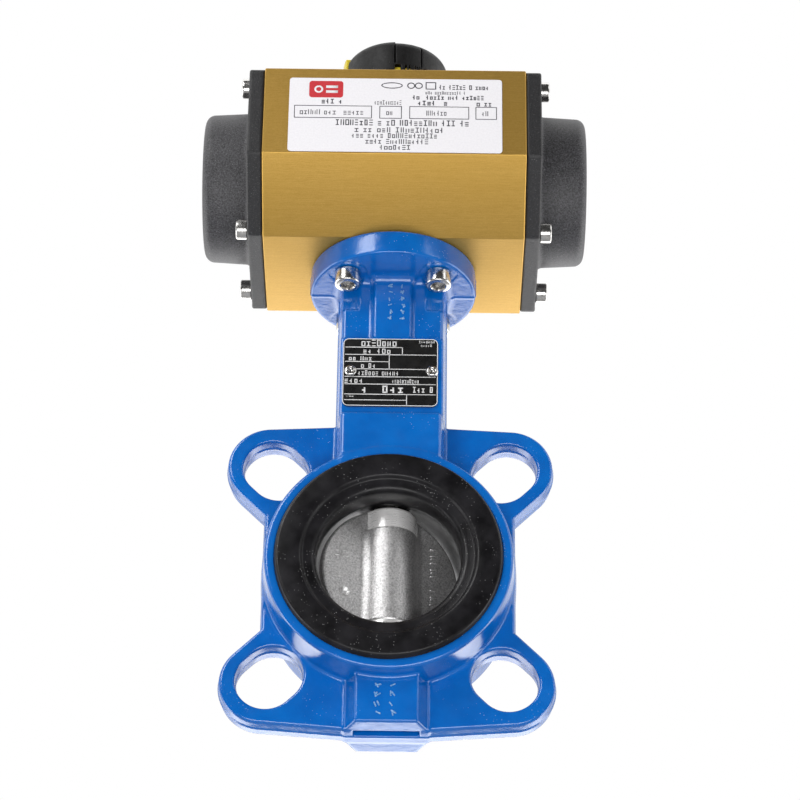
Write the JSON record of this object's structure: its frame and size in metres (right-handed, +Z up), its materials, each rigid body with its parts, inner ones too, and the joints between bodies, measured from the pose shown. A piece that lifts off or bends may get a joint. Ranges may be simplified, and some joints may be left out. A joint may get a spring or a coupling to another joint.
{
  "type": "pneumatically actuated wafer butterfly valve",
  "caption": "Quarter-turn rack-and-pinion pneumatic actuator with end caps and position indicator, bolted on the neck of a lugged wafer butterfly valve.",
  "frame": {"origin": "centre of the valve bore", "axes": "+Z up along the stem towards the actuator, pipe axis along Y, actuator cylinder along X"},
  "size_m": [0.1526, 0.1104, 0.3031],
  "materials": {
    "blue_epoxy": "glossy epoxy coat on a rough casting",
    "gold_anodised": "satin anodised extrusion with a fine lengthwise grain",
    "black_coating": "finely speckled black coating on a casting",
    "black_rubber": "smooth moulded EPDM",
    "cast_stainless": "blasted casting with turned edges",
    "stainless": "bright stainless steel",
    "bare_alloy": "machined cast aluminium",
    "white_polymer": "off-white bearing plastic",
    "yellow_plastic": "moulded yellow",
    "black_plastic": "moulded black, satin",
    "white_label": "printed film",
    "black_plate": "black anodised plate with engraved lines"
  },
  "bodies": {
    "housing": {"valve_body": "blue_epoxy", "seat_liner": "black_rubber", "stem_bush_lower": "white_polymer", "stem_bush_upper": "white_polymer", "stem_seal_lower": "black_rubber", "stem_seal_upper": "black_rubber", "stem_retaining_ring": "stainless", "name_plate": "black_plate", "name_plate_rivet_left": "stainless", "name_plate_rivet_right": "stainless", "flange_screw_1": "stainless", "flange_screw_2": "stainless", "flange_screw_3": "stainless", "flange_screw_4": "stainless", "actuator_body": "gold_anodised", "label_plate": "white_label", "end_cap_left": "black_coating", "end_cap_right": "black_coating", "end_cap_seal_left": "black_rubber", "end_cap_seal_right": "black_rubber", "end_cap_screw_left_1": "stainless", "end_cap_screw_left_2": "stainless", "end_cap_screw_left_3": "stainless", "end_cap_screw_left_4": "stainless", "end_cap_screw_right_1": "stainless", "end_cap_screw_right_2": "stainless", "end_cap_screw_right_3": "stainless", "end_cap_screw_right_4": "stainless", "pinion_bush_lower": "white_polymer", "pinion_seal_lower": "black_rubber", "pinion_bush_upper": "white_polymer", "pinion_seal_upper": "black_rubber", "pinion_thrust_washer": "white_polymer"},
    "drive": {"drive_pinion": "stainless", "pinion_snap_ring": "stainless", "upper_stem": "stainless", "lower_stem": "stainless", "valve_disc": "cast_stainless", "indicator_base": "yellow_plastic", "indicator_cap": "black_plastic", "indicator_screw": "stainless"},
    "left_piston": {"piston_left": "bare_alloy", "piston_seal_left": "black_rubber", "piston_guide_ring_left": "white_polymer", "rack_guide_pad_left": "white_polymer"},
    "right_piston": {"piston_right": "bare_alloy", "piston_seal_right": "black_rubber", "piston_guide_ring_right": "white_polymer", "rack_guide_pad_right": "white_polymer"}
  },
  "joints": [
    {"name": "pinion_turn", "type": "hinge", "parent": "housing", "child": "drive", "pos_m": [0, 0, 0.1759], "axis": [0, 0, 1], "range_deg": [-22, 68]},
    {"name": "piston_right_slide", "type": "slide", "parent": "housing", "child": "right_piston", "axis": [1, 0, 0], "range_m": [-0.00384, 0.01187]},
    {"name": "piston_left_slide", "type": "slide", "parent": "housing", "child": "left_piston", "axis": [-1, 0, 0], "range_m": [-0.00384, 0.01187]}
  ],
  "couplings": [
    {"joint": "piston_right_slide", "follows": "pinion_turn", "m_per_rad": 0.01},
    {"joint": "piston_left_slide", "follows": "pinion_turn", "m_per_rad": 0.01}
  ]
}
